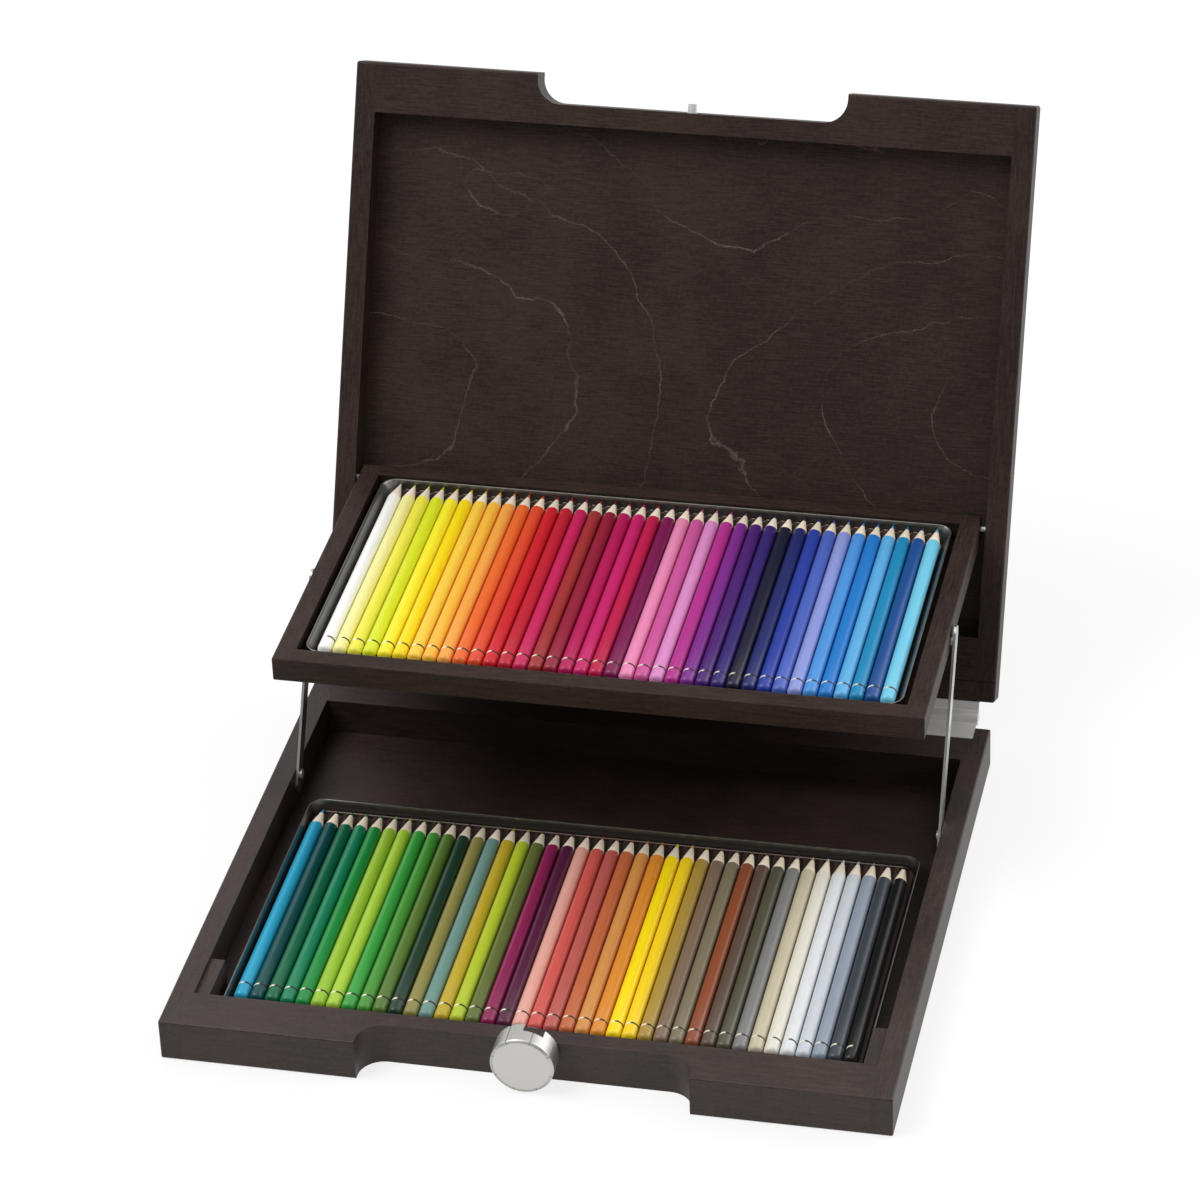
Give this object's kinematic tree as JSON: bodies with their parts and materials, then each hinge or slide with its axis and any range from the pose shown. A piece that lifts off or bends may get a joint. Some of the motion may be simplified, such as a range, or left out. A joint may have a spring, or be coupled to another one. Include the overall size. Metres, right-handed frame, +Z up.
{
  "type": "wooden pencil case",
  "caption": "Flat dark wooden pencil case with a hinged lid, an upper tray that rises on links with the lid, filled pencil tins and a turning catch knob.",
  "frame": {"origin": "centre of the base's underside", "axes": "X to the right along the front, Y from the front with the knob to the hinge side, Z up"},
  "size_m": [0.388, 0.5089, 0.3323],
  "materials": {
    "wood_rail": "dark stained, satin, fine straight grain",
    "wood_panel": "dark stained, satin, pale wavy figure",
    "hinge_steel": "nickel plated, satin",
    "link_steel": "bright, smooth",
    "knob_aluminium": "turned and satin",
    "tin": "bare tinned sheet, half bright",
    "bed": "moulded, dull",
    "pencil_yellow": "gloss lacquer",
    "pencil_red": "gloss lacquer",
    "pencil_pink": "gloss lacquer",
    "pencil_violet": "gloss lacquer",
    "pencil_blue": "gloss lacquer",
    "pencil_green": "gloss lacquer",
    "pencil_olive": "gloss lacquer",
    "pencil_rose": "gloss lacquer",
    "pencil_ochre": "gloss lacquer",
    "pencil_grey": "gloss lacquer",
    "pencil_wood": "bare sharpened cedar",
    "pencil_lead": "wax colour lead"
  },
  "bodies": {
    "base": {"base_floor_panel": "wood_panel", "base_front_rail": "wood_rail", "base_rear_rail": "wood_rail", "base_left_rail": "wood_rail", "base_right_rail": "wood_rail", "corner_block_left": "wood_rail", "corner_block_right": "wood_rail", "hinge_base_leaf_left": "hinge_steel", "hinge_base_leaf_right": "hinge_steel", "hinge_pin_left": "hinge_steel", "hinge_pin_right": "hinge_steel", "base_hinge_screws": "hinge_steel", "link_base_pins": "link_steel", "lower_tin": "tin", "lower_tin_bed": "bed", "lower_pencils_green": "pencil_green", "lower_pencils_olive": "pencil_olive", "lower_pencils_rose": "pencil_rose", "lower_pencils_ochre": "pencil_ochre", "lower_pencils_grey": "pencil_grey", "lower_pencil_points": "pencil_wood", "lower_pencil_leads": "pencil_lead"},
    "lid": {"lid_panel": "wood_panel", "lid_front_rail": "wood_rail", "lid_rear_rail": "wood_rail", "lid_hinge_strip": "wood_rail", "lid_left_rail": "wood_rail", "lid_right_rail": "wood_rail", "hinge_lid_leaf_left": "hinge_steel", "hinge_lid_leaf_right": "hinge_steel", "lid_hinge_screws": "hinge_steel", "tray_pivot_pins": "link_steel", "catch_pin": "hinge_steel"},
    "tray": {"tray_front_rail": "wood_rail", "tray_rear_rail": "wood_rail", "tray_left_rail": "wood_rail", "tray_right_rail": "wood_rail", "tray_floor_panel": "wood_panel", "link_tray_pins": "link_steel", "upper_tin": "tin", "upper_tin_bed": "bed", "upper_pencils_yellow": "pencil_yellow", "upper_pencils_red": "pencil_red", "upper_pencils_pink": "pencil_pink", "upper_pencils_violet": "pencil_violet", "upper_pencils_blue": "pencil_blue", "upper_pencil_points": "pencil_wood", "upper_pencil_leads": "pencil_lead"},
    "link_left": {"link_strip_left": "link_steel"},
    "link_right": {"link_strip_right": "link_steel"},
    "knob": {"knob_cup": "knob_aluminium", "knob_axle": "hinge_steel", "knob_washer": "hinge_steel", "knob_nut": "hinge_steel"}
  },
  "joints": [
    {"name": "lid_hinge", "type": "hinge", "parent": "base", "child": "lid", "pos_m": [0, 0.1762, 0.0241], "axis": [1, 0, 0], "range_deg": [0, 115.9]},
    {"name": "tray_pivot", "type": "hinge", "parent": "lid", "child": "tray", "pos_m": [0, 0.2277, 0.117], "axis": [1, 0, 0], "range_deg": [-115.9, 0]},
    {"name": "link_left_pivot", "type": "hinge", "parent": "base", "child": "link_left", "pos_m": [-0.1809, 0.069, 0.0193], "axis": [1, 0, 0], "range_deg": [0, 115.9]},
    {"name": "link_right_pivot", "type": "hinge", "parent": "base", "child": "link_right", "pos_m": [0.1809, 0.069, 0.0193], "axis": [1, 0, 0], "range_deg": [0, 115.9]},
    {"name": "knob_turn", "type": "hinge", "parent": "base", "child": "knob", "pos_m": [0, -0.1575, 0.0179], "axis": [0, 1, 0], "continuous": true}
  ],
  "couplings": [
    {"joint": "tray_pivot", "follows": "lid_hinge", "ratio": -1},
    {"joint": "link_left_pivot", "follows": "lid_hinge", "ratio": 1},
    {"joint": "link_right_pivot", "follows": "lid_hinge", "ratio": 1}
  ]
}
